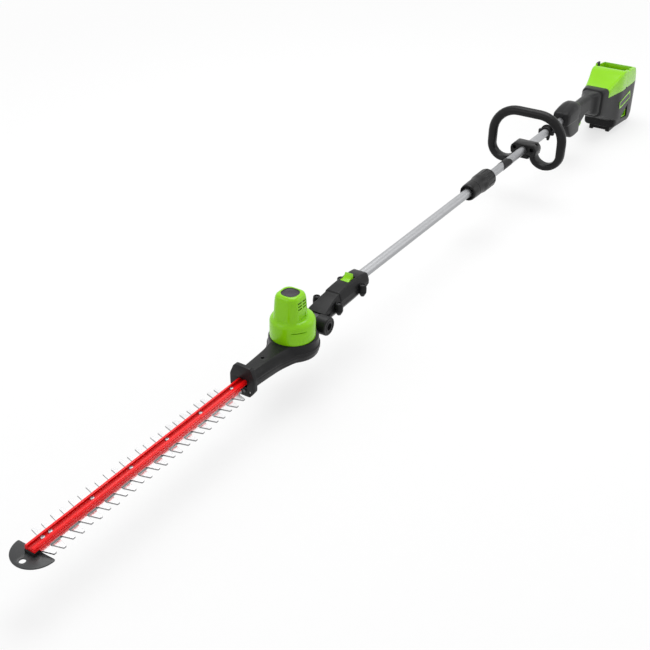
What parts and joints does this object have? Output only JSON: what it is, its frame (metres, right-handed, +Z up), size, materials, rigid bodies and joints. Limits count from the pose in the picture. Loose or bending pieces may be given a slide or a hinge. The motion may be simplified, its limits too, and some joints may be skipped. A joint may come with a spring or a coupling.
{
  "type": "cordless pole hedge trimmer",
  "caption": "Cordless hedge trimmer on a long two-part pole, with a double-sided blade on a pivoting motor head, a loop handle, a rear grip and an open battery bay.",
  "frame": {"origin": "centre of the bounding box in X and Y, at the level of the two runners under the battery housing", "axes": "+X along the pole towards the blade tip, +Y to the operator's left, +Z up from the blades to the motor"},
  "size_m": [2.5586, 0.2142, 0.2481],
  "materials": {
    "green_shell": "glossy bright green moulding",
    "grey_shell": "fine-grained dark grey moulding",
    "black_grip": "black moulding with a soft sheen",
    "black_part": "plain black moulding",
    "pole_metal": "drawn and clear-anodised tube",
    "blade_steel": "ground and polished blade steel",
    "steel_part": "zinc-plated or bright steel",
    "dark_steel": "blackened steel",
    "red_rail": "red lacquer on an extruded rail",
    "tip_metal": "grey lacquered sheet",
    "copper": "enamelled copper wire and laminations",
    "bronze": "sintered bronze and ball bearings",
    "board": "potted circuit board",
    "lead_rubber": "rubber lead sheath",
    "fan_plastic": "nylon fan"
  },
  "bodies": {
    "pole": {"pivot_yoke": "dark_steel", "pivot_bolt": "steel_part", "pivot_nut_cap": "black_part", "bracket_upper": "grey_shell", "bracket_lower": "grey_shell", "bracket_screws": "dark_steel", "lock_spring": "steel_part", "front_tube": "pole_metal", "rear_tube": "pole_metal", "joint_plug": "black_part", "ferrule": "black_part", "pole_lead": "lead_rubber", "height_band": "black_part", "strap_ring": "black_part", "strap_ring_half": "black_part", "ring_screws": "dark_steel", "handle_left": "grey_shell", "handle_right": "grey_shell", "handle_screws": "dark_steel", "trigger_pin": "steel_part", "trigger_spring": "steel_part", "switch": "black_part", "housing_body": "grey_shell", "housing_top": "green_shell", "controller": "board", "terminal_block": "black_part", "latch_spring": "steel_part"},
    "head": {"blade_rail": "red_rail", "blade_bolts": "steel_part", "blade_nuts": "steel_part", "tip_spacer": "black_part", "tip_plate": "tip_metal", "hand_guard": "grey_shell", "gear_case_top": "grey_shell", "gear_case_bottom": "grey_shell", "case_screws": "dark_steel", "gear_plate": "steel_part", "stator": "copper", "bearings": "bronze", "motor_cover": "green_shell", "cover_cap": "grey_shell", "pivot_knuckle": "dark_steel"},
    "upper_blade": {"upper_blade": "blade_steel"},
    "lower_blade": {"lower_blade": "blade_steel"},
    "crank": {"crank_gear": "steel_part", "crankshaft": "steel_part"},
    "upper_rod": {"upper_rod": "steel_part"},
    "lower_rod": {"lower_rod": "steel_part"},
    "motor": {"pinion": "steel_part", "rotor": "steel_part", "fan": "fan_plastic"},
    "release": {"release_button": "green_shell", "lock_bar": "steel_part"},
    "collar": {"collar": "black_grip"},
    "assist_handle": {"loop_handle": "black_grip", "loop_saddle": "black_grip", "loop_screws": "dark_steel"},
    "trigger": {"trigger": "green_shell"},
    "lock_button": {"lock_button": "grey_shell"},
    "battery_latch": {"battery_latch": "grey_shell"}
  },
  "joints": [
    {"name": "head_pivot", "type": "hinge", "parent": "pole", "child": "head", "pos_m": [0.50775, 0, 0.12], "axis": [0, 1, 0], "range_deg": [-45, 90]},
    {"name": "crank_spin", "type": "hinge", "parent": "head", "child": "crank", "pos_m": [0.60675, 0, 0.12], "axis": [0, 0, 1], "continuous": true},
    {"name": "motor_spin", "type": "hinge", "parent": "head", "child": "motor", "pos_m": [0.58475, 0, 0.14], "axis": [0, 0, 1], "continuous": true},
    {"name": "upper_rod_turn", "type": "hinge", "parent": "crank", "child": "upper_rod", "pos_m": [0.61625, 0, 0.1105], "axis": [0, 0, 1], "continuous": true},
    {"name": "lower_rod_turn", "type": "hinge", "parent": "crank", "child": "lower_rod", "pos_m": [0.59725, 0, 0.0964], "axis": [0, 0, 1], "continuous": true},
    {"name": "upper_blade_slide", "type": "slide", "parent": "head", "child": "upper_blade", "axis": [1, 0, 0], "range_m": [-0.019, 0]},
    {"name": "lower_blade_slide", "type": "slide", "parent": "head", "child": "lower_blade", "axis": [1, 0, 0], "range_m": [0, 0.019]},
    {"name": "release_slide", "type": "slide", "parent": "pole", "child": "release", "axis": [-1, 0, 0], "range_m": [0, 0.006], "stiffness_N_per_m": 800, "springref_m": -0.003, "deforming": ["lock_spring"]},
    {"name": "collar_turn", "type": "hinge", "parent": "pole", "child": "collar", "pos_m": [-0.22825, 0, 0.14], "axis": [1, 0, 0], "continuous": true},
    {"name": "loop_slide", "type": "slide", "parent": "pole", "child": "assist_handle", "axis": [1, 0, 0], "range_m": [-0.09, 0.06]},
    {"name": "trigger_swing", "type": "hinge", "parent": "pole", "child": "trigger", "pos_m": [-0.89125, 0, 0.123], "axis": [0, 1, 0], "range_deg": [0, 10], "stiffness_Nm_per_rad": 1.2, "springref_deg": -5.73, "deforming": ["trigger_spring"]},
    {"name": "lock_press", "type": "slide", "parent": "pole", "child": "lock_button", "axis": [0, 1, 0], "range_m": [0, 0.003], "stiffness_N_per_m": 400, "springref_m": -0.002},
    {"name": "latch_press", "type": "slide", "parent": "pole", "child": "battery_latch", "axis": [0, 0, -1], "range_m": [0, 0.004], "stiffness_N_per_m": 700, "springref_m": -0.003, "deforming": ["latch_spring"]}
  ],
  "couplings": [
    {"joint": "motor_spin", "follows": "crank_spin", "ratio": -3},
    {"joint": "upper_rod_turn", "follows": "crank_spin", "ratio": -1},
    {"joint": "lower_rod_turn", "follows": "crank_spin", "ratio": -1},
    {"joint": "lower_blade_slide", "follows": "upper_blade_slide", "ratio": -1}
  ]
}
